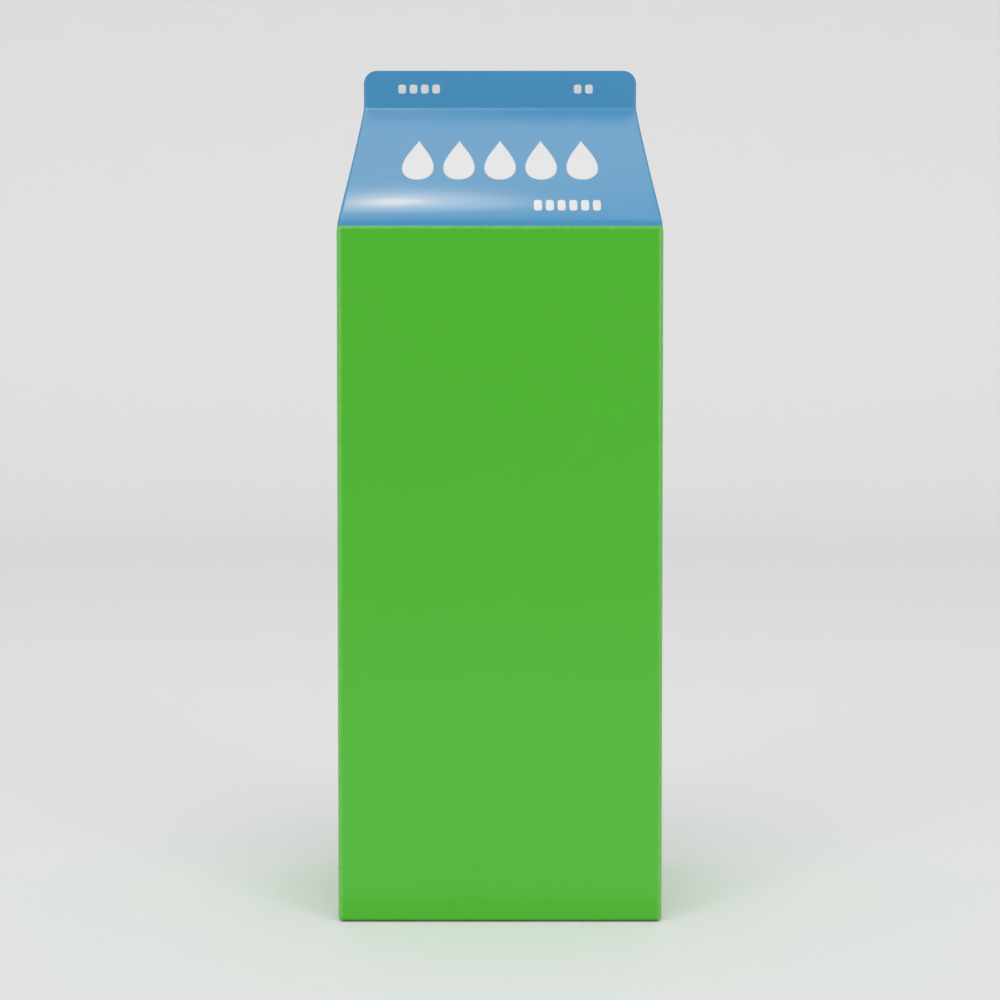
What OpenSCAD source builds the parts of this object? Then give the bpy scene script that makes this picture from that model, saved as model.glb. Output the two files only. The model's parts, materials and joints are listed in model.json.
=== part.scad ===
// Gable-top milk carton for one litre, shut and full.
// One folded blank of coated board: a square body, a roof whose ends are
// tucked in, and a sealed fin along the ridge. All of it is one closed solid.
// +Z is up, -Y is the front, and the origin is the middle of the base.

/* [Body] */
// Width and depth of the square body
body_w = 76; // [60:1:95]
// Height from the base to the score line under the roof
body_h = 163; // [90:1:240]
// Bend radius along the four upright corners
corner_r = 1.2; // [0.6:0.1:2.5]

/* [Roof] */
// Height of the ridge above the score line
roof_rise = 32; // [24:1:44]
// How far each end of the ridge stands in from the side of the body
ridge_inset = 4.3; // [0:0.1:8]
// Width of the nose between the two end panels, under the middle of the ridge
nose_w = 1; // [0.4:0.1:3]

/* [Fin] */
// Height of the sealed fin above the ridge
fin_h = 9; // [7:0.5:18]
// Radius of the fin's two cut corners
fin_corner_r = 3.3; // [0.5:0.1:5]

/* [Board] */
// Thickness of one ply of board
board_t = 0.5; // [0.3:0.05:0.8]

/* [Seam] */
// Distance from the back corner to the raw edge of the lapping panel
seam_inset = 1.8; // [1:0.1:4]

/* [Base] */
// Bend radius along the four base edges
base_r = 1.2; // [0.6:0.1:2.5]
// Width of the flat rim that the carton stands on, inside the bends
base_rim_w = 1.4; // [0.8:0.1:4]
// Depth of the outer base flap behind the rim
base_recess = 0.4; // [0.2:0.1:1.5]
// How far the outer base flap laps past the middle, towards the front
base_lap = 6; // [2:0.5:15]

/* [Hidden] */
$fn = 48;

// Cuts run this far past the faces that they open.
cut = 1;

half_w = body_w / 2;
fin_w = body_w - 2 * ridge_inset;
// Two roof panels and two tucked gussets are pressed together in the fin.
fin_plies = 4;
fin_t = fin_plies * board_t;
ridge_z = body_h + roof_rise;
top_z = ridge_z + fin_h;
// The roof panel and the gusset tucked under it lie against each other.
roof_plies = 2;
roof_t = roof_plies * board_t;
roof_run = half_w - fin_t / 2;
roof_angle = atan2(roof_rise, roof_run);
// Height of the roof's surface above the score line, at a distance y from the middle
function roof_height(y) = (half_w - y) * roof_rise / roof_run;
// Upright depth of a layer of thickness t that lies along the slope
function upright(t) = t / cos(roof_angle);

// A profile drawn in X and Z, drawn out along Y to a length that is centred
module along_y(length) {
    rotate([90, 0, 0])
        linear_extrude(length, center = true)
            children();
}

// A profile drawn in Y and Z, drawn out along X from x0 to x1
module along_x(x0, x1) {
    translate([x0, 0, 0])
        rotate([90, 0, 90])
            linear_extrude(x1 - x0)
                children();
}

// Rectangle from the corner [x0, y0] to [x1, y1] with round corners of radius r
module rounded_rect(x0, y0, x1, y1, r) {
    translate([x0 + r, y0])
        square([x1 - x0 - 2 * r, y1 - y0]);
    translate([x0, y0 + r])
        square([x1 - x0, y1 - y0 - 2 * r]);
    for (x = [x0 + r, x1 - r], y = [y0 + r, y1 - r])
        translate([x, y])
            circle(r);
}

// Plan of the body: the back panel's raw edge stands proud of the corner that it laps
module body_plan() {
    rounded_rect(-half_w, -half_w, half_w, half_w - board_t, corner_r);
    difference() {
        rounded_rect(-half_w, -half_w, half_w, half_w, corner_r);
        translate([-half_w - cut, 0])
            square([cut + seam_inset, half_w + cut]);
    }
}

// Side view of the body, with its two base edges bent to a radius
module body_side() {
    rounded_rect(-half_w, 0, half_w, body_h, base_r);
    translate([-half_w, base_r])
        square([body_w, body_h - base_r]);
}

// Underside: the lapped outer flap, and the inner flap one ply deeper
module base_flaps() {
    inner = half_w - base_r - base_rim_w;
    translate([-inner, -inner, -cut])
        cube([2 * inner, 2 * inner, cut + base_recess]);
    translate([-inner, -inner, -cut])
        cube([2 * inner, inner - base_lap, cut + base_recess + board_t]);
}

module body() {
    color("limegreen")
        difference() {
            intersection() {
                linear_extrude(body_h)
                    body_plan();
                along_y(body_w)
                    body_side();
                along_x(-half_w, half_w)
                    body_side();
            }
            base_flaps();
        }
}

// The two slopes of the roof, whose ends lean in to the ends of the ridge
module roof_slopes() {
    intersection() {
        along_x(-half_w, half_w)
            polygon([
                [-half_w, body_h],
                [half_w, body_h],
                [fin_t / 2, ridge_z],
                [-fin_t / 2, ridge_z]
            ]);
        along_y(body_w)
            polygon([
                [-half_w, body_h],
                [half_w, body_h],
                [fin_w / 2, ridge_z],
                [-fin_w / 2, ridge_z]
            ]);
    }
}

// The recess at the right-hand end: above the tucked end panel and under the gussets
module end_recess() {
    intersection() {
        along_x(0, half_w + cut)
            polygon([
                [-half_w + roof_t / sin(roof_angle), body_h],
                [half_w - roof_t / sin(roof_angle), body_h],
                [0, body_h + roof_height(0) - upright(roof_t)]
            ]);
        along_y(body_w)
            polygon([
                [half_w, body_h],
                [half_w + cut, body_h],
                [half_w + cut, top_z],
                [nose_w / 2, top_z],
                [nose_w / 2, ridge_z]
            ]);
    }
}

// The strip of the back slope beside the left edge, where the lapping panel has ended
module roof_seam() {
    intersection() {
        along_y(2 * body_w)
            polygon([
                [-half_w - cut, body_h],
                [-half_w + seam_inset, body_h],
                [-fin_w / 2 + seam_inset, ridge_z],
                [-half_w - cut, ridge_z]
            ]);
        along_x(-half_w - cut, 0)
            polygon([
                [half_w, body_h - upright(board_t)],
                [half_w + cut, body_h],
                [fin_t / 2 + cut, ridge_z],
                [fin_t / 2, ridge_z - upright(board_t)]
            ]);
    }
}

module roof() {
    color("skyblue")
        difference() {
            roof_slopes();
            for (side = [0, 1])
                mirror([side, 0, 0])
                    end_recess();
            roof_seam();
        }
}

// One folded pair of plies, with a round fold at each end
module fin_pair() {
    translate([0, 0, ridge_z - fin_t])
        linear_extrude(fin_h + fin_t) {
            square([fin_w - 2 * board_t, 2 * board_t], center = true);
            for (x = [-1, 1])
                translate([x * (fin_w / 2 - board_t), 0])
                    circle(board_t);
        }
}

// Outline of the fin from the front, cut to round corners at the top
module fin_outline() {
    rounded_rect(-fin_w / 2, ridge_z, fin_w / 2, top_z, fin_corner_r);
    translate([-fin_w / 2, ridge_z - fin_t])
        square([fin_w, fin_t + fin_h - fin_corner_r]);
}

module fin() {
    color("steelblue")
        difference() {
            intersection() {
                for (side = [-1, 1])
                    translate([0, side * board_t, 0])
                        fin_pair();
                along_y(fin_t)
                    fin_outline();
            }
            translate([-half_w, fin_t / 2 - board_t, ridge_z - upright(board_t)])
                cube([half_w - fin_w / 2 + seam_inset, cut, fin_h + fin_t]);
        }
}

module carton() {
    body();
    roof();
    fin();
}

carton();
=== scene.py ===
# %% [markdown]
# # A gable-top milk carton
#
# This lesson builds a shut one-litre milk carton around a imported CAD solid. The
# real carton is one sheet of coated board, printed green below and blue above,
# creased, wrapped into a square tube and folded shut at the top. The CAD solid
# says where everything goes. It is loaded first, and nothing in it is changed.
# Seven pieces are made round it: the green body, the blue gable, the flaps under
# the base and four groups of marks in white ink.

# %% Load the frame
import json

import bpy
import numpy as np
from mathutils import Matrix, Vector
from mathutils.bvhtree import BVHTree

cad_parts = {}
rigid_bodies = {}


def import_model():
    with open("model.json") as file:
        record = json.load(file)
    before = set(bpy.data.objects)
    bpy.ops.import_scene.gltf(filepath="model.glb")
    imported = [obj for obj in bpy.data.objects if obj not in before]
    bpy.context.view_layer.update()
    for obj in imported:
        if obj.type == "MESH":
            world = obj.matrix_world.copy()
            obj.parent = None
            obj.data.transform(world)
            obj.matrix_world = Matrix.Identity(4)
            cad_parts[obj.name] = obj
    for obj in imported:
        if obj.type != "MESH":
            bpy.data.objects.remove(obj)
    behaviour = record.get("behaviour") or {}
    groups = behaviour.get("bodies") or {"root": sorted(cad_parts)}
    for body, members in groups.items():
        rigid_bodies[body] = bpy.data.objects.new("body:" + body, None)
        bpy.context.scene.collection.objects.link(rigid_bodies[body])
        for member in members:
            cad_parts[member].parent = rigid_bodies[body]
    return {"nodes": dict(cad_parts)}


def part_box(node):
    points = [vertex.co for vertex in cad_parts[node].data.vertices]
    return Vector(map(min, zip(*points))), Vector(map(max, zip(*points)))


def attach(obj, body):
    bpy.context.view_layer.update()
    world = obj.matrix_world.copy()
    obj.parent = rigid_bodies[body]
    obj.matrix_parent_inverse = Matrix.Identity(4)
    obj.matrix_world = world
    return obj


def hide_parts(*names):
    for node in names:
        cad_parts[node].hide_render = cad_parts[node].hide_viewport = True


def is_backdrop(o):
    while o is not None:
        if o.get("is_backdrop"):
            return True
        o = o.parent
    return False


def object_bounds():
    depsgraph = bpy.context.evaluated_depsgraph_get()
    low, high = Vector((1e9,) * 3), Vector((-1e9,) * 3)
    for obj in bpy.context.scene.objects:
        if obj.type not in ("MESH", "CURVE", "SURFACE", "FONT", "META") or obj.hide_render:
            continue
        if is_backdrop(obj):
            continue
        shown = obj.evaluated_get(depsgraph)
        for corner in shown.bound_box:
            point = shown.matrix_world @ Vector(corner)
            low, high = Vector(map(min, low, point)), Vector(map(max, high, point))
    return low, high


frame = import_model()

cad_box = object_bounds()
print("CAD box in mm:", [[round(1000 * c, 1) for c in corner] for corner in cad_box])

# %% [markdown]
# ## Sizes
#
# The outside sizes come from the solid's box. The heights of the creases repeat
# the named values of the CAD source, in metres. Written this way, every piece
# below lands on the solid without any fitting by eye.

# %% Named sizes of the carton
MM = 0.001
_, top_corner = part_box("carton")
HALF = top_corner.x  # half the width of the square body
TOP_Z = top_corner.z  # top of the fin
SCORE_Z = 163 * MM  # crease between the body and the roof
RIDGE_Z = 195 * MM  # crease between the roof and the fin
RIDGE_HALF = 33.7 * MM  # half the length of the ridge
PLY = 0.5 * MM  # one thickness of board
FIN_HALF = 2 * PLY  # four plies are pressed together in the fin
FIN_CORNER_R = 3.3 * MM
CORNER_R = 1.2 * MM
BASE_R = 1.2 * MM
BASE_RIM = 1.4 * MM
BASE_RECESS = 0.4 * MM
BASE_LAP = 6 * MM
SEAM_INSET = 1.8 * MM  # from the back corner to the raw edge of the lapping panel
NOSE = 1.0 * MM  # where the tucked end panel stops, beside the middle of the ridge
SLIT = 0.05 * MM  # half the slit between the two folded pairs in the fin
SLIT_END = 0.6 * MM  # where the gussets stop inside the fin, beside its middle

roof_run, roof_rise = HALF - FIN_HALF, RIDGE_Z - SCORE_Z
SLOPE = np.arctan2(roof_rise, roof_run)
SLOPE_LEN = np.hypot(roof_rise, roof_run)

# Heights along the sheet itself, from the base up over the roof to the fin's cut edge
V_SCORE = SCORE_Z
V_RIDGE = V_SCORE + SLOPE_LEN
V_TOP = V_RIDGE + (TOP_Z - RIDGE_Z)
print(f"roof slope {np.degrees(SLOPE):.1f} degrees, {SLOPE_LEN / MM:.1f} mm long")

# %% [markdown]
# ## One panel of the folded sheet
#
# Folded board could be made as flat faces with a Bevel modifier. A filled carton
# isn't flat, though: milk pushes the walls out a little, and the roof has a soft
# shoulder just above its crease. So the front panel is a function. It takes a
# place on the sheet, `x` across and `v` up along the board, and answers where the
# printed face is. Everything on the panel, the ink marks too, asks this function.

# %% The printed face of the front panel
WALL_BOW = 0.6 * MM  # how far milk pushes each wall out
SHOULDER_SLOPE = 0.33  # extra steepness of the roof just above the crease
SHOULDER_LEN = 8 * MM  # how quickly that steepness fades up the roof
NECK_SLOPE = 0.16  # extra steepness just under the fin, where the roof turns up into it
NECK_LEN = 5 * MM
EDGE_HOLD = 0.15  # share of the shoulder that the stiff folded edges hold back


def wall_bow(across, z):
    """Outward bow of a wall: a cosine squared across it times a half sine up it."""
    return WALL_BOW * np.cos(np.pi * across / (2 * HALF)) ** 2 * np.sin(np.pi * np.clip(z / SCORE_Z, 0, 1))


def soft_start(s, slope, length):
    """Height at distance s from an end that starts with this slope: a rise that dies
    away exponentially, less the straight line that takes it to zero at the other end."""
    rise = slope * length * (1 - np.exp(-s / length))
    whole = slope * length * (1 - np.exp(-SLOPE_LEN / length))
    return rise - whole * s / SLOPE_LEN


def shoulder(s):
    """Bulge of the roof at distance s above the crease: out over the shoulder, less
    the hollow just under the fin, which is the same curve from the other end."""
    out = soft_start(s, SHOULDER_SLOPE, SHOULDER_LEN)
    return out - soft_start(SLOPE_LEN - s, NECK_SLOPE, NECK_LEN)


def panel(x, v):
    """Y and Z of the front panel's printed face: straight up the wall, along the
    slope, then straight up the fin, pushed out by the bow and the shoulder."""
    s = np.clip(v - V_SCORE, 0, SLOPE_LEN)
    out = shoulder(s) * (1 - EDGE_HOLD * (x / HALF) ** 4)
    y = -HALF + s * np.cos(SLOPE) - out * np.sin(SLOPE)
    z = np.clip(v, 0, V_SCORE) + s * np.sin(SLOPE) + out * np.cos(SLOPE)
    y = y - np.where(v < V_SCORE, wall_bow(x, v), 0)
    return y, z + np.clip(v - V_RIDGE, 0, None)


bulge = shoulder(np.linspace(0, SLOPE_LEN, 200))
print(f"the roof's shoulder stands out {bulge.max() / MM:.2f} mm at most")

# %% [markdown]
# ## A quarter of the carton, as rows and columns
#
# From the middle of the front to the middle of the right-hand side the board has
# five stretches: the panel, the fold at the corner, the gusset tucked under the
# roof, the valley fold, and the end panel that leans in. Each is a short formula
# in the height `v`, with columns across it. On the walls the same columns make a
# plain rounded corner. The other three quarters are mirror images, except that
# the back left one also has the lapped seam.

# %% Columns across the quarter
PANEL_STEPS = 15  # even columns on a panel, beyond the first two
FIRST_EVEN = 2.4 * MM  # where those columns start, on the fin
CORNER_STEPS = 8  # columns on the panel round the fin's corner
FLAP_STEPS = 5  # columns on the strip of glue flap beside the seam
BEND_STEPS = 8  # columns round the corner fold, an even number
FOLD_STEPS = 5  # columns round the valley fold
END_STEPS = 12  # columns on half of an end panel
NEAR_RAW = np.array([0.7, 0.12]) * MM  # the last two columns before the raw edge
FIN_STRAIGHT = RIDGE_HALF - FIN_CORNER_R  # where the fin's round corner begins


def fin_bend_r(drop):
    """Radius of the fold at the fin's end: half of what is left of its half thickness."""
    return (FIN_HALF - SLIT - drop) / 2


def panel_columns(seam):
    """Distances from the middle, on the fin, of the columns on the panel and on the
    strip of glue flap beside it: even steps, then closer ones round the fin's corner."""
    even = np.r_[0, SLIT_END, np.linspace(FIRST_EVEN, FIN_STRAIGHT, PANEL_STEPS)]
    if not seam:
        reach = np.arcsin((FIN_CORNER_R - fin_bend_r(0)) / FIN_CORNER_R)
        turn = np.linspace(0, reach, CORNER_STEPS + 1)[1:]
        return np.r_[even, FIN_STRAIGHT + FIN_CORNER_R * np.sin(turn)], np.zeros(0)
    raw = RIDGE_HALF - SEAM_INSET
    flap = np.linspace(raw, RIDGE_HALF - fin_bend_r(PLY), FLAP_STEPS + 1)
    return np.r_[even, raw - NEAR_RAW], flap


columns = {seam: panel_columns(seam) for seam in (False, True)}
print("columns on a panel:", len(columns[False][0]), "and beside the seam:", len(columns[True][0]))

# %% Where the folds of a quarter lie
EDGE_DRAW = 0.38 * MM  # how far the roof's edges come in where the shoulder takes up the board
DRAW_POWER = 0.7  # puts the most of it about a third of the way up the roof
WALL_SPREAD = 4 * MM  # width on the wall of the columns that become the gusset
FOLD_SOFT = 0.9 * MM  # reach of the valley fold's rounding
FOLD_SHARE = 0.45  # and the most it takes of the narrower strip beside it

gusset_foot = np.array([HALF, -HALF + 2 * PLY / np.sin(SLOPE), SCORE_Z])
gusset_apex = np.array([NOSE, 0, RIDGE_Z + np.tan(SLOPE) * FIN_HALF - 2 * PLY / np.cos(SLOPE)])
print("gusset from", np.round(gusset_foot / MM, 1), "to", np.round(gusset_apex / MM, 1), "in mm")


def unit(a):
    """A vector along the last axis divided by its length, and that length."""
    length = np.linalg.norm(a, axis=-1, keepdims=True)
    return a / np.maximum(length, 1e-9), length


def points(x, y, z):
    """Three arrays that broadcast together, stacked as points."""
    return np.stack(np.broadcast_arrays(x, y, z), axis=-1)


def fin_top(x):
    """Height of the fin's cut edge: level, then down a quarter circle at the end."""
    past = np.clip(np.abs(x) - FIN_STRAIGHT, 0, FIN_CORNER_R)
    return TOP_Z - FIN_CORNER_R + np.sqrt(FIN_CORNER_R**2 - past**2)


# %% The quarter itself
RAW_X = np.array([-0.06, -0.02, 0, 0]) * MM  # the raw edge in plan: a small round, then straight in
RAW_DEPTH = np.array([0, 0.03, 0.09, 0.5]) * MM


def quarter(v, seam):
    """Points of the front right quarter, rows by height v, columns from the middle
    of the front to the middle of the side, with the distance to the middle of the
    corner fold as a fourth number. The panel follows panel(); the fold is an arc,
    a quarter turn on the wall and a half turn on the roof; the gusset and the end
    panel are straight lines to the valley point; a quadratic curve rounds the
    valley between them."""
    v = v[:, None]
    wall, fin = v < V_SCORE, v >= V_RIDGE
    t = np.clip((v - V_SCORE) / SLOPE_LEN, 0, 1)
    drop = PLY if seam else 0.0
    lean = np.where(wall | fin, np.pi / 2, SLOPE)
    radius = np.where(wall, CORNER_R, np.where(fin, fin_bend_r(drop), PLY - drop / 2))
    edge = HALF + (RIDGE_HALF - HALF) * t - EDGE_DRAW * np.sin(np.pi * t**DRAW_POWER)
    start = edge - radius
    raw_x = edge - SEAM_INSET

    # The panel
    on_panel, on_flap = columns[seam]
    if seam:
        x = on_panel / (on_panel[-1] + NEAR_RAW[-1]) * raw_x
    else:
        x = on_panel / on_panel[-1] * start
    parts = [points(x, *panel(x, v))]

    def under(x, depth):
        """A point at a depth below the printed face, square to it."""
        y, z = panel(np.minimum(x, start), v)
        return points(x, y + depth * np.sin(lean), z - depth * np.cos(lean))

    # The raw edge with the glue flap under it, then the fold at the corner
    if seam:
        share = (on_flap - on_flap[0]) / (on_flap[-1] - on_flap[0])
        parts.append(under(raw_x + RAW_X, RAW_DEPTH))
        parts.append(under(raw_x + (start - raw_x) * share[1:], PLY))
    turn = np.where(wall, np.pi / 2, np.pi) * np.arange(1, BEND_STEPS + 1) / BEND_STEPS
    fold = under(start + radius * np.sin(turn), drop + radius * (1 - np.cos(turn)))
    parts.append(fold)
    foot = fold[:, -1:]

    # Where the valley lies, and the foot and the middle that its two sides run to
    rise = gusset_foot + t[..., None] * (gusset_apex - gusset_foot)
    on_wall = foot + points(0, WALL_SPREAD, 0)
    in_fin = points(SLIT_END, -SLIT, v)
    valley = np.where(wall[..., None], on_wall, np.where(fin[..., None], in_fin, rise))
    middle = valley * [1, 0, 1]
    to_foot, gusset_len = unit(foot - valley)
    to_middle, end_len = unit(middle - valley)
    reach = np.minimum(FOLD_SOFT, FOLD_SHARE * np.minimum(gusset_len, end_len))
    a, b = valley + reach * to_foot, valley + reach * to_middle

    # The gusset, the valley fold and the end panel
    fin_x = np.unique(np.r_[on_panel[1:], on_flap])[::-1]
    g = ((fin_x[0] - fin_x[1:]) / (fin_x[0] - fin_x[-1]))[:, None]
    parts.append(foot + g * (a - foot))
    k = (np.arange(1, FOLD_STEPS + 1) / (FOLD_STEPS + 1))[:, None]
    parts.append((1 - k) ** 2 * a + 2 * k * (1 - k) * valley + k**2 * b)
    e = (np.arange(0, END_STEPS + 1) / END_STEPS)[:, None]
    parts.append(b + e * (middle - b))

    # The bow of the side wall, the fin's round corner and the distance to the fold
    p = np.concatenate(parts, axis=1)
    outside = np.arange(p.shape[1]) < p.shape[1] - len(g) - FOLD_STEPS - END_STEPS - 1
    p[..., 0] += np.where(wall & ~outside, wall_bow(p[..., 1], v), 0)
    up_fin = np.clip((v - V_RIDGE) / (V_TOP - V_RIDGE), 0, 1)
    p[..., 2] = np.where(fin, RIDGE_Z + up_fin * (fin_top(p[..., 0]) - RIDGE_Z), p[..., 2])
    from_fold = np.linalg.norm(p - fold[:, BEND_STEPS // 2 - 1][:, None], axis=-1)
    return np.concatenate([p, from_fold[..., None]], axis=-1)


PLAIN_COLS, SEAM_COLS = (quarter(np.array([0.1]), seam).shape[1] for seam in (False, True))
print("columns in a quarter:", PLAIN_COLS, "and in the one with the seam:", SEAM_COLS)

# %% [markdown]
# ## Rounding the creases
#
# Board can't turn a sharp corner. A crease is a soft arc, one to three
# millimetres wide. Bevels on such thin folds fail easily, so the rounding happens
# in the sheet: each row is the average of the rows in a small window round it. A
# straight run stays as it is, and a kink becomes an arc as wide as the window.

# %% Averaged rows
SCORE_SOFT = 1.3 * MM  # half the width of the crease under the roof
RIDGE_SOFT = 0.7 * MM  # half the width of the crease under the fin
WINDOW = np.linspace(-1, 1, 13)


def softness(v):
    """Half width of the averaging window at height v: wide low on the sheet, narrow
    near the ridge, and nothing at the two ends."""
    wide = np.where(v < (V_SCORE + V_RIDGE) / 2, SCORE_SOFT, RIDGE_SOFT)
    return np.clip(np.minimum(V_TOP - v, v - BASE_R), 0, wide)


def averaged(shape, v):
    """The mean of shape(v) over the window round each v."""
    spread = (v[:, None] + softness(v)[:, None] * WINDOW).ravel()
    values = shape(spread)
    return values.reshape(len(v), len(WINDOW), *values.shape[1:]).mean(axis=1)


def loop(v):
    """Closed rows of points round the whole carton, turning left seen from above:
    four quarters, mirrored and joined, of which the back left one has the seam."""
    plain = averaged(lambda w: quarter(w, False), v)
    lapped = averaged(lambda w: quarter(w, True), v)
    front_right, back_right = plain, (plain * [1, -1, 1, 1])[:, ::-1]
    back_left, front_left = lapped * [-1, -1, 1, 1], (plain * [-1, 1, 1, 1])[:, ::-1]
    return np.concatenate([front_right, back_right[:, 1:], back_left[:, 1:], front_left[:, 1:-1]], axis=1)


# %% The rows, from the base to the fin's cut edge
def steps(*spans):
    """Heights from runs of (first, last, spacing), each run evenly divided."""
    runs = [np.linspace(a, b, max(2, round((b - a) / d) + 1))[:-1] for a, b, d in spans]
    return np.concatenate(runs + [np.array([spans[-1][1]])])


wall_rows = steps(
    (BASE_R, 6 * MM, 1.2 * MM),
    (6 * MM, V_SCORE - 6 * MM, 4 * MM),
    (V_SCORE - 6 * MM, V_SCORE - 2 * MM, MM),
    (V_SCORE - 2 * MM, V_SCORE, 0.2 * MM),
)
top_rows = steps(
    (V_SCORE, V_SCORE + 2.4 * MM, 0.2 * MM),
    (V_SCORE + 2.4 * MM, V_SCORE + 16 * MM, 0.7 * MM),
    (V_SCORE + 16 * MM, V_RIDGE - 1.5 * MM, 1.5 * MM),
    (V_RIDGE - 1.5 * MM, V_RIDGE + 1.5 * MM, 0.15 * MM),
    (V_RIDGE + 1.5 * MM, V_TOP, 0.8 * MM),
)
wall_points, top_points = loop(wall_rows), loop(top_rows)
print("rows by columns: walls", wall_points.shape[:2], "gable", top_points.shape[:2])

# %% [markdown]
# ## From rows to a closed mesh
#
# A grid of points becomes a mesh with two helpers. One numbers the faces between
# rows, and one puts the arrays into Blender. The sheet is split at the crease
# into a green body and a blue gable, because they are two colours of print. Each
# is closed with a hidden face inside the carton, so that both are solid pieces.

# %% Faces between rows, and a mesh from arrays
def grid_faces(rows, cols, first=0, cyclic=True):
    """Quads between neighbouring rows and columns, as numbers of points counted row
    by row from `first`; with cyclic, the last column joins the first."""
    r, c = np.meshgrid(np.arange(rows - 1), np.arange(cols if cyclic else cols - 1), indexing="ij")
    right = (c + 1) % cols
    quads = np.stack([r * cols + c, r * cols + right, (r + 1) * cols + right, (r + 1) * cols + c], -1)
    return first + quads.reshape(-1, 4)


def tidy_faces(faces):
    """The faces without repeated points; those with fewer than three are dropped."""
    single = [list(dict.fromkeys(face)) for face in faces]
    return [face for face in single if len(face) > 2]


def make_piece(name, co, faces, materials, face_material=None, wear_and_sheen=None):
    """A smooth-shaded object in place, with its materials and its fold wear and painted sheen."""
    mesh = bpy.data.meshes.new(name)
    mesh.from_pydata(co.tolist(), [], faces)
    mesh.polygons.foreach_set("use_smooth", np.ones(len(mesh.polygons), bool))
    for material in materials:
        mesh.materials.append(material)
    if face_material is not None:
        mesh.polygons.foreach_set("material_index", face_material)
    if wear_and_sheen is not None:
        attribute = mesh.attributes.new("fold_wear", "FLOAT", "POINT")
        attribute.data.foreach_set("value", wear_and_sheen.astype(np.float32))
    piece = bpy.data.objects.new(name, mesh)
    bpy.context.scene.collection.objects.link(piece)
    return piece


# %% How worn each point is, and how much painted sheen it takes
# Along the folds the pale mark is worn ink and partly a painted sheen, standing for light caught by the
# rounded fold.
FOLD_WEAR_AND_SHEEN_REACH = 0.6 * MM
CREASE_WEAR_REACH = 0.35 * MM
CREASE_WEAR_V = V_SCORE - 0.35 * MM  # the ink is strained most just under the crease


def fold_wear(pts, v):
    """One on a fold, falling off as a bell curve with the distance along the sheet to
    the nearest upright fold or to the crease under the roof. On the folds the pale
    mark is worn ink and partly a painted sheen."""
    to_crease = np.abs(v - CREASE_WEAR_V)[:, None] / CREASE_WEAR_REACH
    return np.exp(-(np.minimum(pts[..., 3] / FOLD_WEAR_AND_SHEEN_REACH, to_crease) ** 2))


# %% [markdown]
# ## Colour and finish
#
# The board is bleached white, printed by offset and covered with a thin film of
# polyethylene, which keeps it tight and gives a satin gloss. The eye reads that
# as an even, strong colour with soft highlights, a trace of fibre under the film,
# and paler lines along the folds: strained ink, and partly a painted sheen where a
# rounded fold catches light. All of it is worked out by nodes from the object's own
# coordinates, so that the sizes are true.

# %% One function for a node, one for a colour
def linear(hex_code):
    """Linear RGBA of an sRGB hex colour, by the standard curve."""
    c = np.array([int(hex_code[i : i + 2], 16) for i in (1, 3, 5)]) / 255
    lin = np.where(c <= 0.04045, c / 12.92, ((c + 0.055) / 1.055) ** 2.4)
    return (*lin.tolist(), 1.0)


def add_node(tree, kind, settings=None, **inputs):
    """Adds a node, sets its settings and its inputs. An input is a value, or a pair
    of a node and the name of its output, which is linked. A name's underscores
    stand for spaces, and a name such as i1 is an input's number."""
    node = tree.nodes.new(kind)
    for key, value in (settings or {}).items():
        setattr(node, key, value)
    for key, value in inputs.items():
        at = int(key[1:]) if key[1:].isdigit() else key.replace("_", " ")
        if isinstance(value, tuple) and isinstance(value[0], bpy.types.Node):
            tree.links.new(value[0].outputs[value[1]], node.inputs[at])
        else:
            node.inputs[at].default_value = value
    return node


def new_material(name):
    """An empty node material and its tree."""
    material = bpy.data.materials.new(name)
    material.use_nodes = True
    material.node_tree.nodes.clear()
    return material, material.node_tree


# %% Film-coated print on board
CLOUD = 1 / (24 * MM)  # scale of a noise with 24 mm patches: ink laid a little unevenly
FIBRE = 1 / (1.1 * MM)  # fibre clumps of about a millimetre, just large enough to show
FIBRE_SHARE = 0.5  # weight of the fibre mottle beside the clouds
MOTTLE_LOW, MOTTLE_HIGH = 0.45, 1.05  # about the range of the two noises added up
FIBRE_RELIEF = 0.004 * MM
POLYETHYLENE_IOR = 1.51
FILM_ROUGHNESS = 0.17


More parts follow.
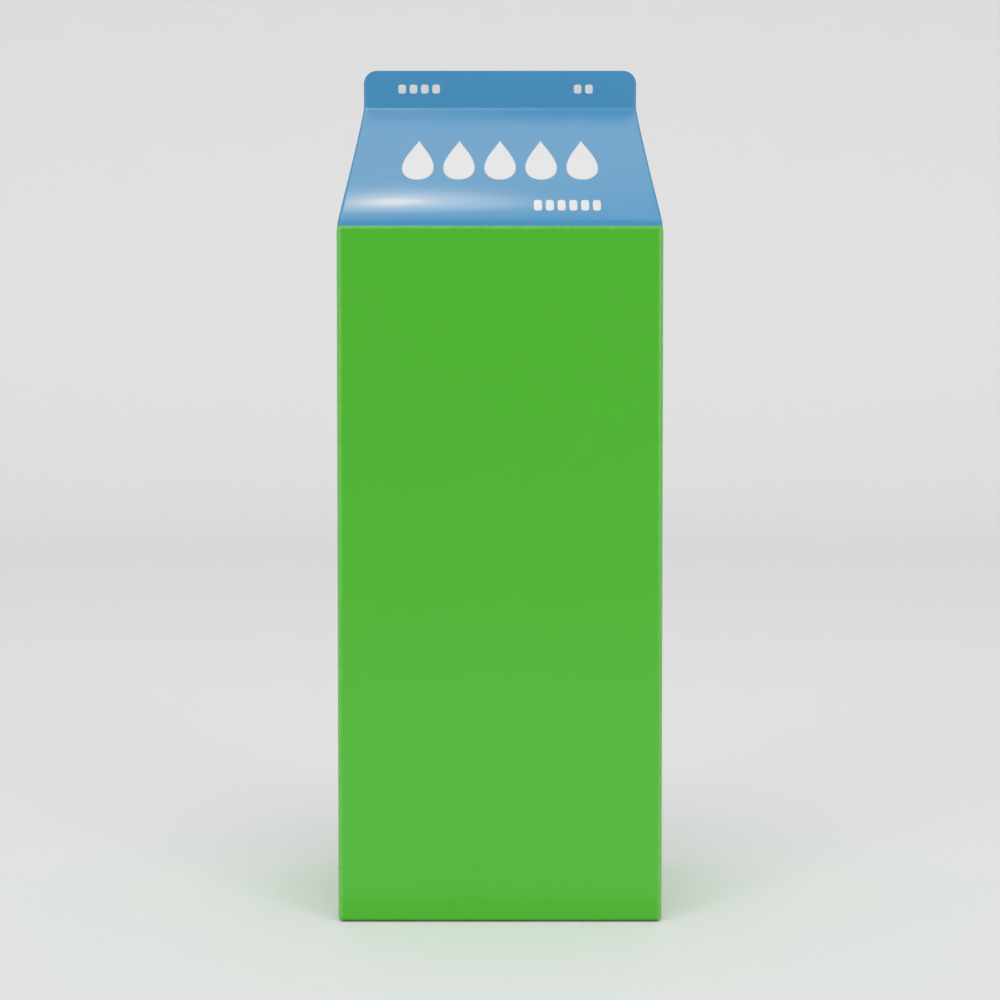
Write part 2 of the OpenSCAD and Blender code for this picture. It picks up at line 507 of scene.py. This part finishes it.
def coated_print(name, ink, worn_and_sheen, wear_and_sheen_share=0.45, unevenness=0.012):
    """Offset print under a polyethylene film: even ink with faint clouds and fibre
    mottle, going a share of the way to its paler colour along the folds, for strained
    ink and partly a painted sheen, and a fibre relief that softens the gloss."""
    material, tree = new_material(name)
    place = add_node(tree, "ShaderNodeTexCoord")
    cloud = add_node(tree, "ShaderNodeTexNoise", Vector=(place, "Object"), Scale=CLOUD, Detail=2.0)
    fibre = add_node(
        tree, "ShaderNodeTexNoise", Vector=(place, "Object"), Scale=FIBRE, Detail=3.0, Roughness=0.6
    )
    both = add_node(
        tree,
        "ShaderNodeMath",
        {"operation": "MULTIPLY_ADD"},
        i0=(fibre, "Fac"),
        i1=FIBRE_SHARE,
        i2=(cloud, "Fac"),
    )
    shade = add_node(
        tree,
        "ShaderNodeMapRange",
        Value=(both, "Value"),
        From_Min=MOTTLE_LOW,
        From_Max=MOTTLE_HIGH,
        To_Min=1 - unevenness,
        To_Max=1 + unevenness,
    )
    even = add_node(
        tree, "ShaderNodeVectorMath", {"operation": "SCALE"}, i0=linear(ink)[:3], Scale=(shade, "Result")
    )
    # Fold wear and painted sheen: a share of the way to the paler colour, broken up by the fibre.
    wear_and_sheen = add_node(tree, "ShaderNodeAttribute", {"attribute_name": "fold_wear"})
    strain_and_sheen = add_node(tree, "ShaderNodeMath", {"operation": "MULTIPLY"}, i0=(wear_and_sheen, "Fac"), i1=wear_and_sheen_share)
    rubbed_and_sheen = add_node(
        tree, "ShaderNodeMath", {"operation": "MULTIPLY"}, i0=(strain_and_sheen, "Value"), i1=(fibre, "Fac")
    )
    colour = add_node(
        tree,
        "ShaderNodeMix",
        {"data_type": "RGBA"},
        i0=(rubbed_and_sheen, "Value"),
        i6=(even, "Vector"),
        i7=linear(worn_and_sheen),
    )
    bump = add_node(tree, "ShaderNodeBump", Height=(fibre, "Fac"), Strength=1.0, Distance=FIBRE_RELIEF)
    surface = add_node(
        tree,
        "ShaderNodeBsdfPrincipled",
        Base_Color=(colour, "Result"),
        Normal=(bump, "Normal"),
        Roughness=FILM_ROUGHNESS,
        IOR=POLYETHYLENE_IOR,
    )
    add_node(tree, "ShaderNodeOutputMaterial", Surface=(surface, "BSDF"))
    return material


# The green's paler upright folds are strained ink and partly a painted sheen.
green_print = coated_print("green_print_on_coated_board", ink="#44B11B", worn_and_sheen="#A9DB8A", wear_and_sheen_share=0.62)
blue_print = coated_print("blue_print_on_coated_board", ink="#3F8CB9", worn_and_sheen="#A6CDE2")
white_ink = coated_print("white_ink_on_coated_board", ink="#D8D8D9", worn_and_sheen="#E2E2E2", unevenness=0.01)
# A dark green print for the lowest rings of the body: a painted contact shadow where the carton meets the
# floor.
painted_contact_shadow = coated_print("painted_contact_shadow_print", ink="#2C5A17", worn_and_sheen="#3F6B2C", unevenness=0.08)
print("prints:", green_print.name, painted_contact_shadow.name, blue_print.name, white_ink.name)

# %% Bare board, on cut edges and on the base flaps
STRAND = 1 / (0.25 * MM)  # single fibres, drawn coarse enough to show
STRAND_RELIEF = 0.03 * MM
BOARD_ROUGHNESS = 0.75


def bare_board_material():
    """Bleached kraft board where it is cut or unprinted: dull, warm white and fibrous,
    with a mottle of darker strands."""
    material, tree = new_material("bleached_kraft_board")
    place = add_node(tree, "ShaderNodeTexCoord")
    strand = add_node(tree, "ShaderNodeTexNoise", Vector=(place, "Object"), Scale=STRAND, Detail=4.0)
    colour = add_node(
        tree,
        "ShaderNodeMix",
        {"data_type": "RGBA"},
        i0=(strand, "Fac"),
        i6=linear("#CFC8B8"),
        i7=linear("#F1EEE6"),
    )
    bump = add_node(tree, "ShaderNodeBump", Height=(strand, "Fac"), Strength=1.0, Distance=STRAND_RELIEF)
    surface = add_node(
        tree,
        "ShaderNodeBsdfPrincipled",
        Base_Color=(colour, "Result"),
        Normal=(bump, "Normal"),
        Roughness=BOARD_ROUGHNESS,
    )
    add_node(tree, "ShaderNodeOutputMaterial", Surface=(surface, "BSDF"))
    return material


bare_board = bare_board_material()
print("bare:", bare_board.name)

# %% [markdown]
# ## The green body
#
# The walls are the rows up to the crease. Below them the board bends in over
# the base edge, runs flat along the rim that the carton stands on, and steps up
# behind it. Those rows are the lowest row of the wall again, drawn in a little.
# On that bend a dark green print is a painted contact shadow, the shade that
# falls where the carton stands on the floor. A texture could darken it by height,
# but whole rings of faces with a second print keep the line crisp. The raw edge of
# the seam gets bare board in the same way.

# %% Rows under the wall
RIM_BEND = 0.1 * MM  # reach of the turn behind the rim
BEHIND_RIM = 1.6 * MM  # height at which the sheet ends, over the flaps
BASE_STEPS = 6  # rows round the bend at the foot
LID_INSET = 1 * MM  # the hidden faces that close the body and the gable stand in this far
LID_DROP = 1.2 * MM


def shrunk(row, inset, z):
    """A row drawn in towards the middle by a distance, at a height."""
    out = row.copy()
    out[:, :2] *= 1 - inset / HALF
    out[:, 2] = z
    return out


inner_rim = BASE_R + BASE_RIM
bend = np.radians(np.linspace(0, 90, BASE_STEPS + 1))[:-1]
under_path = [
    (inner_rim + RIM_BEND, BEHIND_RIM),
    (inner_rim + RIM_BEND / 2, RIM_BEND),
    (inner_rim - RIM_BEND, 0),
    *((BASE_R * (1 - np.sin(a)), BASE_R * (1 - np.cos(a))) for a in bend),
]
under_rows = np.stack([shrunk(wall_points[0], inset, z) for inset, z in under_path])
print("rows under the wall:", len(under_rows))

# %% The body
# The rings that take the painted contact shadow, a dark print standing for shade under the base edge.
PAINTED_SHADOW_ROWS = 7  # rings of faces: those of the rim, and of the bend up to 0.6 mm
PRINT, BARE, PAINTED_SHADOW = 0, 1, 2  # places in the list of a piece's materials

lid = shrunk(wall_points[-1], LID_INSET, SCORE_Z - LID_DROP)[None]
body_points = np.concatenate([under_rows, wall_points, lid])
body_v = np.r_[np.zeros(len(under_rows)), wall_rows, 0]
n_rows, n_cols = body_points.shape[:2]
back_middle = 2 * PLAIN_COLS - 2
raw_column = back_middle + len(columns[True][0]) + 1
raw_edge = slice(raw_column, raw_column + 2)  # the columns of faces on the seam's raw edge
body_faces = grid_faces(n_rows, n_cols).tolist()
body_faces += [list(range(n_cols))[::-1], list(range((n_rows - 1) * n_cols, n_rows * n_cols))]
finish = np.full((n_rows - 1, n_cols), PRINT, np.int32)
finish[:, raw_edge] = BARE
# The lowest rings take the dark print of the painted contact shadow.
finish[:PAINTED_SHADOW_ROWS] = PAINTED_SHADOW
body_sleeve = make_piece(
    "body_sleeve",
    body_points[..., :3].reshape(-1, 3),
    body_faces,
    [green_print, bare_board, painted_contact_shadow],
    np.r_[finish.ravel(), PRINT, PRINT].astype(np.int32),
    fold_wear(body_points, body_v).ravel(),
)
print("body_sleeve:", len(body_sleeve.data.polygons), "faces")

# %% [markdown]
# ## The blue gable and its fin
#
# The rows above the crease are the roof, the tucked ends and the fin. The fin is
# cut off square, and shows the raw edges of its four plies. So the last row is
# closed by narrow strips, each from a point on the outside to its partner on the
# gusset inside, with a groove between the two plies.

# %% Close the fin's cut edge
GROOVE_AT = np.array([0, 0.06, 0.44, 0.5, 0.56, 0.94, 1])  # shares of the way across two plies
GROOVE_RISE = np.array([0, 0.05, 0.04, -0.12, 0.04, 0.05, 0]) * MM


def quarter_columns(first, seam, backwards):
    """Numbers on the loop of a quarter's columns: the outside ones up to the middle of
    the fold, the inside ones from there to the gusset's end, and the valley's."""
    on_panel, on_flap = columns[seam]
    total = SEAM_COLS if seam else PLAIN_COLS
    outside = len(on_panel) + (len(RAW_X) + len(on_flap) - 1 if seam else 0)
    fold = outside + BEND_STEPS // 2
    end = total - FOLD_STEPS - END_STEPS - 1
    ids = (first + np.arange(total)[:: -1 if backwards else 1]) % n_cols
    return ids[:fold], ids[fold - 1 : end], ids[end - 1 :]


def cut_strip(row, outer, inner, first_new, backwards):
    """Points and faces across two plies of the cut edge: lines from each outside point
    to the inside point at the nearest x, with a groove where the plies meet."""
    mate = inner[np.abs(row[outer, 0][:, None] - row[inner, 0]).argmin(axis=1)]
    width = row[mate] - row[outer]
    across = row[outer][:, None] + GROOVE_AT[1:-1, None] * width[:, None]
    across[..., 2] += GROOVE_RISE[1:-1] * np.linalg.norm(width, axis=1)[:, None] / (FIN_HALF - SLIT)
    ids = first_new + np.arange(across[..., 0].size).reshape(across.shape[:2])
    ids = np.concatenate([outer[:, None], ids, mate[:, None]], axis=1)
    ids[-1] = outer[-1]
    quads = np.stack([ids[:-1, :-1], ids[1:, :-1], ids[1:, 1:], ids[:-1, 1:]], -1).reshape(-1, 4)
    return across[:-1].reshape(-1, 4), (quads[:, ::-1] if backwards else quads).tolist(), ids[0]


# %% Gather the gable's points and faces
TUCK_DROP = 0.6 * MM  # the gable's lowest row hides this far inside the body

tuck = shrunk(top_points[0], LID_INSET, SCORE_Z - TUCK_DROP)[None]
gable_points = np.concatenate([tuck, top_points])
gable_rows = gable_points.shape[0]
gable_faces = grid_faces(gable_rows, n_cols).tolist() + [list(range(n_cols))[::-1]]
rim = (gable_rows - 1) * n_cols
co, cap_faces, centre_ring = gable_points.reshape(-1, 4), [], []
for first, seam, backwards in (
    (0, False, False),
    (PLAIN_COLS - 1, False, True),
    (back_middle, True, False),
    (back_middle + SEAM_COLS - 1, False, True),
):
    outer, inner, valley = (rim + ids for ids in quarter_columns(first, seam, backwards))
    new, quads, middle_line = cut_strip(co, outer, inner, len(co), backwards)
    co = np.concatenate([co, new])
    cap_faces += quads
    run = [*middle_line, *valley[1:]]
    centre_ring += run[::-1] if backwards else run
cap_faces = tidy_faces(cap_faces + [centre_ring])

# %% The gable
gable_v = np.r_[V_SCORE, top_rows]
gable_wear_and_sheen = np.r_[fold_wear(gable_points, gable_v).ravel(), np.zeros(len(co) - gable_rows * n_cols)]
finish = np.full((gable_rows - 1, n_cols), PRINT, np.int32)
finish[:, raw_edge] = BARE
gable_top = make_piece(
    "gable_top",
    co[:, :3],
    gable_faces + cap_faces,
    [blue_print, bare_board],
    np.r_[finish.ravel(), PRINT, np.full(len(cap_faces), BARE)].astype(np.int32),
    gable_wear_and_sheen,
)
print("gable_top:", len(gable_top.data.polygons), "faces, of which", len(cap_faces), "on the cut edge")

# %% [markdown]
# ## The base flaps
#
# Underneath, four flaps are folded in and sealed. The outer one laps past the
# middle, so that a step one ply high runs across the base. A slab whose lower
# side follows that step fills the recess behind the rim.

# %% A slab with a lapped underside
SEAL_WAVE = 0.06 * MM  # the sealing jaws leave faint waves
SEAL_WAVE_LEN = 9 * MM
LAP_SOFT = 0.06 * MM  # how quickly the step at the lap falls
LAP_REACH = 0.25 * MM  # close rows lie this far to both sides of it
FLAP_GAP = 0.02 * MM  # clearance between the slab and the rim
FLAP_TOP = 1.5 * MM  # height of the slab's hidden upper side


def flap_underside(x, y):
    """Height of the base flaps: the outer flap, and one ply deeper past its edge,
    with a faint wave left by sealing."""
    lap = 0.5 - 0.5 * np.tanh((y + BASE_LAP) / LAP_SOFT)
    wave = SEAL_WAVE * np.sin(2 * np.pi * y / SEAL_WAVE_LEN) * np.cos(np.pi * x / (2 * HALF))
    return BASE_RECESS + PLY * lap + wave


flap_half = HALF - BASE_R - BASE_RIM - FLAP_GAP
flap_x = np.linspace(-flap_half, flap_half, 41)
near_lap = -BASE_LAP + np.linspace(-LAP_REACH, LAP_REACH, 9)
before_lap = np.linspace(-flap_half, near_lap[0], 28)
past_lap = np.linspace(near_lap[-1], flap_half, 36)
flap_y = np.r_[before_lap[:-1], near_lap, past_lap[1:]]
gx, gy = np.meshgrid(flap_x, flap_y)
under = np.stack([gx, gy, flap_underside(gx, gy)], -1).reshape(-1, 3)
over = np.stack([gx, gy, np.full_like(gx, FLAP_TOP)], -1).reshape(-1, 3)
rows, cols = gx.shape
lower = grid_faces(rows, cols, cyclic=False)[:, ::-1]
upper = grid_faces(rows, cols, first=rows * cols, cyclic=False)
ring = np.r_[
    np.arange(cols),
    np.arange(1, rows) * cols + cols - 1,
    rows * cols - 2 - np.arange(cols - 1),
    np.arange(rows - 2, 0, -1) * cols,
]
after = np.roll(ring, -1)
sides = np.stack([ring, after, after + rows * cols, ring + rows * cols], -1)
flap_faces = np.concatenate([lower, upper, sides]).tolist()
base_flaps = make_piece("base_flaps", np.concatenate([under, over]), flap_faces, [bare_board])
print("base_flaps:", len(base_flaps.data.polygons), "faces")

# %% [markdown]
# ## White marks in the print
#
# Where a carton carries its words, this one has plain shapes in white ink: a row
# of five drops on each roof panel, six small lozenges where the contents would
# stand, and small rounded squares on the fin where a date would. They could be a
# mask in the material, but a mask blurs when it is baked to a small image. Each
# is a thin closed film instead, laid on the sheet by the same panel function.

# %% A film of ink on the sheet
INK_LIFT = 0.03 * MM  # how far the film stands above the sheet, and reaches below it
RINGS = np.array([0.12, 0.3, 0.5, 0.7, 0.86, 0.96, 1.0, 1.0, 0.5])  # shares of the outline
RING_LIFT = np.array([1, 1, 1, 1, 1, 1, 0.7, -1, -1])  # shares of the lift
AROUND = 72  # points on a ring
TANGENT_STEP = 0.05 * MM


def on_sheet(x, v, lift):
    """Points on the front panel with its rounded creases, each raised by its lift
    along the normal, which is the direction up the sheet turned by a right angle."""

    def rounded(at):
        """The mean of panel() over the averaging window."""
        window = at[:, None] + softness(at)[:, None] * WINDOW
        return np.stack(panel(x[:, None], window), -1).mean(axis=1)

    along, _ = unit(rounded(v + TANGENT_STEP) - rounded(v - TANGENT_STEP))
    place = rounded(v) + lift[:, None] * np.stack([-along[:, 1], along[:, 0]], -1)
    return np.column_stack([x, place])


def drop_outline(turn):
    """A drop one unit wide and high, its point up: cosine for the height, and for the
    width the sine times a power of the half angle's sine, which pinches the point."""
    return 0.7 * np.sin(turn) * np.sin(turn / 2) ** 1.4, 0.5 * np.cos(turn)


def lozenge_outline(turn):
    """A rounded square one unit wide and high: a circle's sine and cosine, each
    replaced by its square root with its sign kept."""
    sine, cosine = np.sin(turn), np.cos(turn)
    return 0.5 * np.sign(sine) * np.sqrt(np.abs(sine)), 0.5 * np.sign(cosine) * np.sqrt(np.abs(cosine))


def ink_marks(name, outline, centres, size, back=False):
    """One piece of several marks: each ring is the outline drawn in to a share of its
    size, the last two lie under the surface, and a face closes each end."""
    turn = np.linspace(0, 2 * np.pi, AROUND, endpoint=False)
    across, up = outline(turn)
    co, faces = [], []
    for cx, cv in centres:
        x = cx + size[0] * RINGS[:, None] * across
        v = cv + size[1] * RINGS[:, None] * up
        lift = RING_LIFT[:, None] * INK_LIFT + 0 * x
        mark = on_sheet(x.ravel(), v.ravel(), lift.ravel())
        first = sum(len(c) for c in co)
        last = first + len(mark) - AROUND
        faces += grid_faces(len(RINGS), AROUND, first).tolist()
        faces += [list(range(first, first + AROUND))[::-1], list(range(last, last + AROUND))]
        co.append(mark * ([-1, -1, 1] if back else 1))
    return make_piece(name, np.concatenate(co), faces, [white_ink])


# %% Place the marks
DROP_SIZE = (7.6 * MM, 17.6 * MM)
DROP_PITCH = 9.8 * MM
DROPS_UP = V_SCORE + 25.4 * MM
LOZENGE_SIZE = (1.9 * MM, 3.8 * MM)
LOZENGE_PITCH = 2.75 * MM
FIRST_LOZENGE = 8.9 * MM
LOZENGES_UP = V_SCORE + 6.6 * MM
SQUARE_SIZE = (1.9 * MM, 2.2 * MM)
SQUARE_PITCH = 2.8 * MM
SQUARE_GROUPS = ((-24.2 * MM, 4), (19.2 * MM, 2))  # where each group starts, and how many it has
SQUARES_UP = V_RIDGE + 4.5 * MM

drops = [(DROP_PITCH * k, DROPS_UP) for k in range(-2, 3)]
lozenges = [(FIRST_LOZENGE + LOZENGE_PITCH * k, LOZENGES_UP) for k in range(6)]
squares = [(first + SQUARE_PITCH * k, SQUARES_UP) for first, count in SQUARE_GROUPS for k in range(count)]
marks = [
    ink_marks("front_drops", drop_outline, drops, DROP_SIZE),
    ink_marks("back_drops", drop_outline, drops, DROP_SIZE, back=True),
    ink_marks("contents_lozenges", lozenge_outline, lozenges, LOZENGE_SIZE),
    ink_marks("date_squares", lozenge_outline, squares, SQUARE_SIZE),
]
print("marks:", [(m.name, len(m.data.polygons)) for m in marks])

# %% [markdown]
# ## Ride on the frame
#
# The new pieces stand for the CAD solid, which is then hidden, and they move
# with its only body.

# %% Ride, and the solid that is replaced
slots = [(body_sleeve, "body_print"), (gable_top, "roof_print"), (base_flaps, "bare_board")]
slots += [(mark, "white_print") for mark in marks]
for piece, slot in slots:
    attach(piece, "root")
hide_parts("carton")
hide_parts("carton")
print("pieces that ride on the body:", len(slots))

# %% How far the new surface is from the solid
SAMPLE = 7  # one point in so many is measured

solid = frame["nodes"]["carton"].data
cad_tree = BVHTree.FromPolygons([v.co for v in solid.vertices], [p.vertices for p in solid.polygons])
for piece in (body_sleeve, gable_top):
    at = np.zeros(3 * len(piece.data.vertices))
    piece.data.vertices.foreach_get("co", at)
    off = [cad_tree.find_nearest(point)[3] / MM for point in at.reshape(-1, 3)[::SAMPLE].tolist()]
    print(f"{piece.name}: at most {max(off):.2f} mm from the solid's surface, {np.mean(off):.2f} on average")

# %% [markdown]
# ## Floor, light and camera
#
# The stage is a shallow bowl of pale paper: a flat floor that curves up all
# round, so that no horizon shows from any side. One lamp could light it all, but
# a glossy film shows every lamp's shape, so each job has a lamp of its own. A
# white sky and four broad lamps, a key and a fill from above, one from the front
# and one from behind, light the walls and the floor evenly. A softbox above the
# ridge puts the pale sheen on the roof, and two tall strips brighten the upright
# folds. A small warm lamp in a wider dish puts the highlight on the shoulder, and
# a card on the floor lifts the foot of the front panel. Those last three are seen
# in the gloss only.

# %% A bowl for a stage
FLOOR_R = 1.6  # in metres
CURVE_R = 1.3
CURVE_TURN = np.radians(80)
CENTRE_R = 0.02  # a single flat face fills the bowl inside this
FLOOR_RINGS = 12
CURVE_RINGS = 24
AROUND_BOWL = 96

arc = np.linspace(0, CURVE_TURN, CURVE_RINGS + 1)[1:]
profile_r = np.r_[np.linspace(CENTRE_R, FLOOR_R, FLOOR_RINGS), FLOOR_R + CURVE_R * np.sin(arc)][:, None]
profile_z = np.r_[np.zeros(FLOOR_RINGS), CURVE_R * (1 - np.cos(arc))][:, None]
spin = np.linspace(0, 2 * np.pi, AROUND_BOWL, endpoint=False)
bowl = points(profile_r * np.cos(spin), profile_r * np.sin(spin), profile_z)


PAPER_GRAIN = 1 / (3 * MM)  # drawn coarse enough not to flicker


def matt_paper():
    """Matt seamless paper: one pale grey with the faintest mottle, and no gloss."""
    material, tree = new_material("matt_seamless_paper")
    place = add_node(tree, "ShaderNodeTexCoord")
    mottle = add_node(tree, "ShaderNodeTexNoise", Vector=(place, "Object"), Scale=PAPER_GRAIN, Detail=2.0)
    colour = add_node(
        tree,
        "ShaderNodeMix",
        {"data_type": "RGBA"},
        i0=(mottle, "Fac"),
        i6=linear("#F0F0F1"),
        i7=linear("#F3F3F4"),
    )
    surface = add_node(
        tree,
        "ShaderNodeBsdfPrincipled",
        Base_Color=(colour, "Result"),
        Roughness=1.0,
        Specular_IOR_Level=0.0,
    )
    add_node(tree, "ShaderNodeOutputMaterial", Surface=(surface, "BSDF"))
    return material


floor = make_piece(
    "floor",
    bowl.reshape(-1, 3),
    grid_faces(len(profile_r), AROUND_BOWL)[:, ::-1].tolist() + [list(range(AROUND_BOWL))],
    [matt_paper()],
)
floor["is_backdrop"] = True
print(f"stage: {2 * profile_r.max():.1f} m across and {profile_z.max():.1f} m high")


# %% Two kinds of lamp
def add_lamp(data, place, target):
    """Puts a lamp at a place, turned to face a target; the camera doesn't see it."""
    lamp = bpy.data.objects.new(data.name, data)
    lamp.location = place
    lamp.rotation_euler = (Vector(target) - Vector(place)).to_track_quat("-Z", "Y").to_euler()
    lamp.visible_camera = False
    bpy.context.scene.collection.objects.link(lamp)
    return lamp


def soft_lamp(name, shape, size, radiance, place, target, tint="#FFFFFF", gloss_only=False):
    """An area lamp that looks this bright: its power is radiance times area times pi.
    With gloss_only it shows in the film's gloss and lights nothing else."""
    data = bpy.data.lights.new(name, "AREA")
    data.shape = shape
    data.size, data.size_y = size
    data.color = linear(tint)[:3]
    area = size[0] * size[1] * (np.pi / 4 if shape == "ELLIPSE" else 1)
    data.energy = radiance * area * np.pi
    add_lamp(data, place, target).visible_diffuse = not gloss_only


def broad_lamp(name, share, place, spread, shadow=False):
    """A sun as wide as a big diffuser, aimed at the origin, that makes white paper
    facing it look this bright. Only soft_lamp() lamps are seen in reflections."""
    data = bpy.data.lights.new(name, "SUN")
    data.energy = share * np.pi
    data.angle = np.radians(spread)
    data.use_shadow = shadow
    add_lamp(data, place, (0, 0, 0)).visible_glossy = False


# %% Softbox, highlight, strips and card, placed in metres
RIDGE_MIDDLE = (0, 0.02, 0.18)
ROOF_SHOULDER = (-0.025, -0.03, 0.17)
BODY_MIDDLE = (0, 0, 0.1)
STRIP_SIDE = 0.86  # how far out each strip stands

soft_lamp("roof_softbox", "RECTANGLE", (0.42, 0.74), 1.42, (0, 0.15, 1.25), RIDGE_MIDDLE)
soft_lamp(
    "highlight_dish",
    "ELLIPSE",
    size=(0.115, 0.125),
    radiance=4.1,
    place=(-0.045, 0.022, 0.67),
    target=ROOF_SHOULDER,
    tint="#FFE7C8",
    gloss_only=True,
)
soft_lamp(
    "highlight_lamp",
    "ELLIPSE",
    size=(0.03, 0.02),
    radiance=32,
    place=(-0.050, 0.028, 0.66),
    target=ROOF_SHOULDER,
    tint="#FFD481",
    gloss_only=True,
)
for name, side in (("left_strip", -STRIP_SIDE), ("right_strip", STRIP_SIDE)):
    soft_lamp(name, "RECTANGLE", (0.40, 1.1), 2.6, (side, -1.27, 0.45), BODY_MIDDLE)
CARD_Y = -0.285
soft_lamp("bounce_card", "RECTANGLE", (0.30, 0.46), 0.40, (0, CARD_Y, 0.002), (0, CARD_Y, 1), gloss_only=True)

# %% Broad lamps and the sky
broad_lamp("top_key", 0.15, (0, -0.5, 1), 40, shadow=True)
broad_lamp("top_fill", 0.27, (0, -0.5, 1), 40)
broad_lamp("front_fill", 0.06, (0, -1, 0.1), 60)
broad_lamp("back_fill", 0.14, (0, 1, 0.1), 60)

SKY_STRENGTH = 0.285
world = bpy.data.worlds.new("white_sky")
bpy.context.scene.world = world
world.use_nodes = True
sky = world.node_tree.nodes["Background"]
sky.inputs["Color"].default_value = linear("#FFFFFF")
sky.inputs["Strength"].default_value = SKY_STRENGTH

# %% Camera
CAMERA_AT = (0, -0.570, 0.1214)
CAMERA_DOWN = 2.38  # degrees below the horizon
FOCAL_LENGTH = 82.25  # in millimetres, on a sensor of the usual 36
SENSOR = 36

camera_data = bpy.data.cameras.new("camera")
camera_data.sensor_width = SENSOR
camera_data.lens = FOCAL_LENGTH
camera = bpy.data.objects.new("camera", camera_data)
camera.location = CAMERA_AT
camera.rotation_euler = (np.radians(90 - CAMERA_DOWN), 0, 0)
bpy.context.scene.collection.objects.link(camera)
bpy.context.scene.camera = camera
bpy.context.scene.view_settings.view_transform = "Standard"
distance, height = -CAMERA_AT[1] / MM, CAMERA_AT[2] / MM
print(f"camera {distance:.0f} mm from the carton's middle and {height:.0f} mm above the floor")

# %% [markdown]
# ## Finish
#
# The sizes before and after are printed, to show that the looks kept the
# carton's dimensions.

# %% Print the sizes
boxes = {"cad": cad_box, "visual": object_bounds()}
for key, box in boxes.items():
    print(key, "box in mm:", [[round(c / MM, 2) for c in corner] for corner in box])
